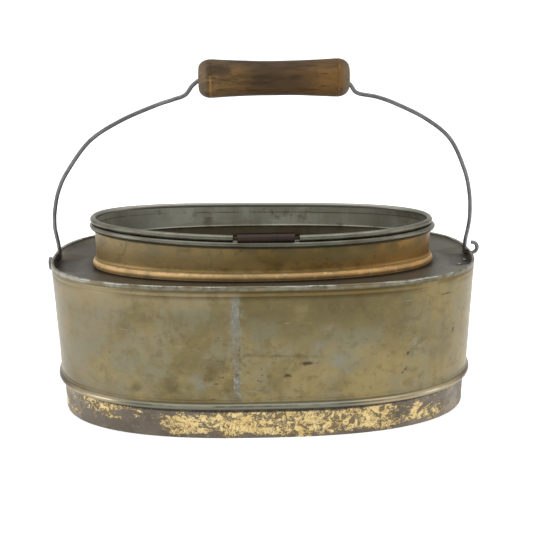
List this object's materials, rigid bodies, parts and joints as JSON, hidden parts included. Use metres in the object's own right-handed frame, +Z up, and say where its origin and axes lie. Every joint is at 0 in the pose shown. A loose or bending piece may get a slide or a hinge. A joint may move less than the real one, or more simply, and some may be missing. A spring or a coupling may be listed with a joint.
{
  "type": "oval carrying pail",
  "caption": "Oval sheet-metal carrying pail with a sunken shoulder, a collared mouth with a beaded rim, a swinging wire bail and a turned wooden grip.",
  "frame": {"origin": "middle of the flat underside of the bottom plate", "axes": "+X along the oval's length, to the right seen from the front; +Z up out of the mouth; -Y is the front, where the hinge sleeve is"},
  "size_m": [0.3096, 0.1618, 0.2442],
  "materials": {
    "lacquered_tin": "worn brown lacquer on tinplate, low sheen",
    "golden_tin": "golden brown lacquer on tinplate, soft gloss",
    "grey_tin": "dull tinned steel",
    "dark_tin": "darkened tinned steel",
    "rusty_tin": "rusted tinplate",
    "flaked_paint": "flaking yellow paint over dark rust",
    "solder": "old soft solder",
    "wire": "dull steel wire",
    "turned_wood": "dark, hand-worn turned wood"
  },
  "bodies": {
    "pail": {"bottom_plate": "rusty_tin", "base_band": "flaked_paint", "body_wall": "lacquered_tin", "seam_solder": "solder", "shoulder_plate": "dark_tin", "edge_solder": "solder", "collar_wall": "golden_tin", "rim_band": "grey_tin", "rim_wire": "wire", "shoulder_rivet_1": "solder", "shoulder_rivet_2": "solder"},
    "bail": {"bail_wire": "wire"},
    "handle": {"grip": "turned_wood"},
    "sleeve": {"hinge_sleeve": "rusty_tin"}
  },
  "joints": [
    {"name": "bail_swing", "type": "hinge", "parent": "pail", "child": "bail", "pos_m": [0, 0, 0.1054], "axis": [1, 0, 0], "range_deg": [-60, 60]},
    {"name": "grip_spin", "type": "hinge", "parent": "bail", "child": "handle", "pos_m": [0.00835, 0, 0.2313], "axis": [1, 0, 0], "continuous": true},
    {"name": "sleeve_turn", "type": "hinge", "parent": "pail", "child": "sleeve", "pos_m": [0.0008, -0.0489, 0.1319], "axis": [1, 0, 0], "range_deg": [-55, 145]}
  ]
}
